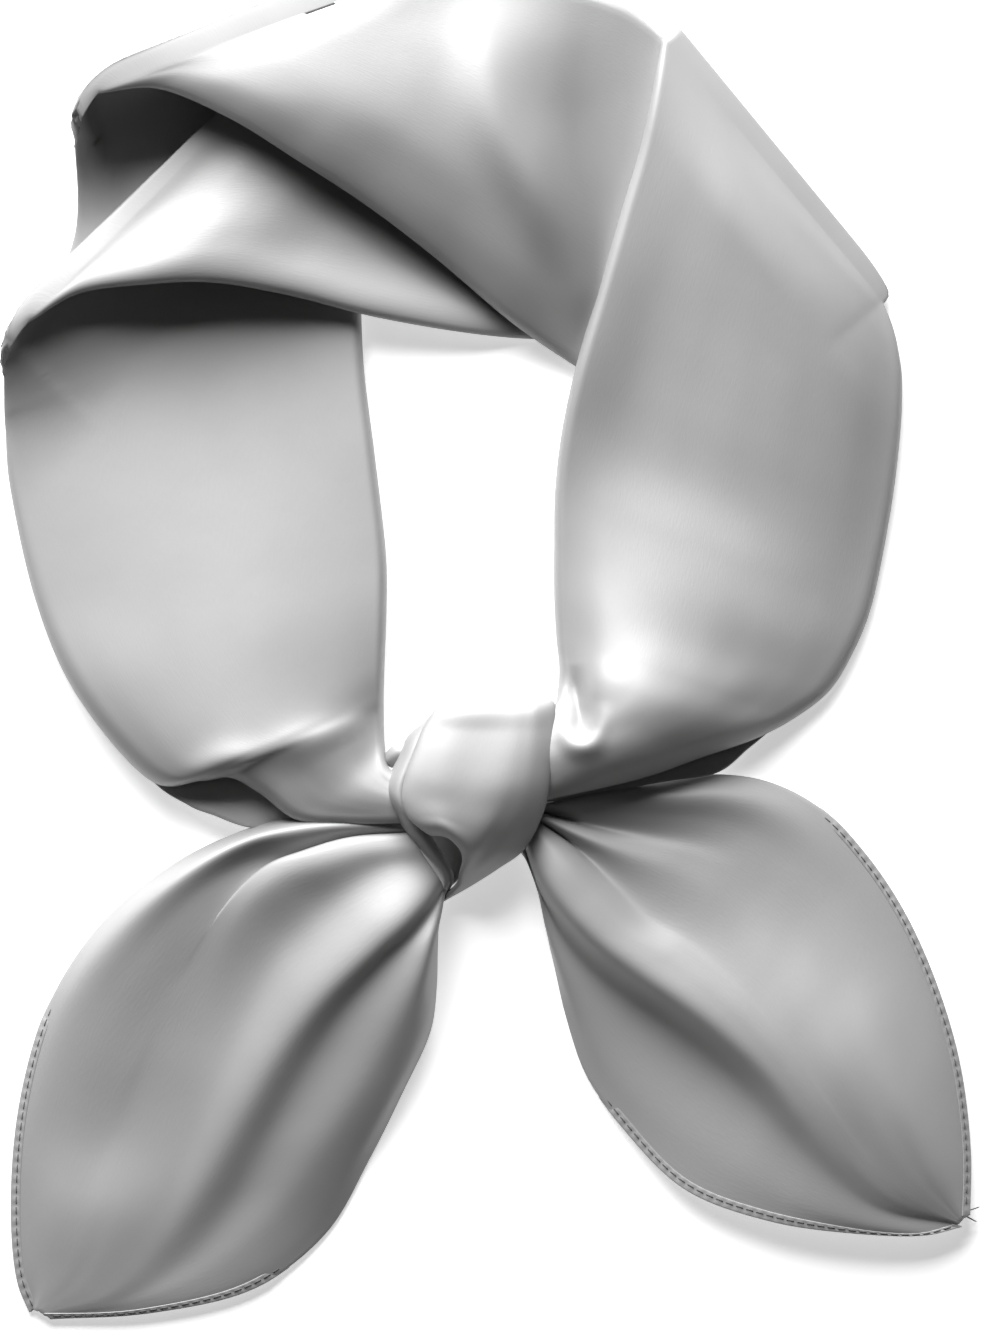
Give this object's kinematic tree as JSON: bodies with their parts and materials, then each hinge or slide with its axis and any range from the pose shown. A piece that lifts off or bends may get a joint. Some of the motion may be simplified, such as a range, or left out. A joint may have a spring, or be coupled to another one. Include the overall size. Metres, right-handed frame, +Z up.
{
  "type": "square scarf",
  "caption": "Satin square scarf folded on the bias into a soft band, laid as a neck loop and tied in a flat wrapped knot with pointed tails.",
  "frame": {"origin": "on the surface the scarf lies on, under the middle of its bounding box", "axes": "+Z up from the surface, +Y from the knot and tails to the top of the loop, +X to the right"},
  "size_m": [0.2502, 0.3487, 0.027],
  "materials": {
    "satin": "pale silver-grey satin with a soft sheen"
  },
  "bodies": {
    "root": {"neck_band": "satin", "tail_left": "satin", "tail_right": "satin", "knot": "satin"}
  },
  "joints": []
}
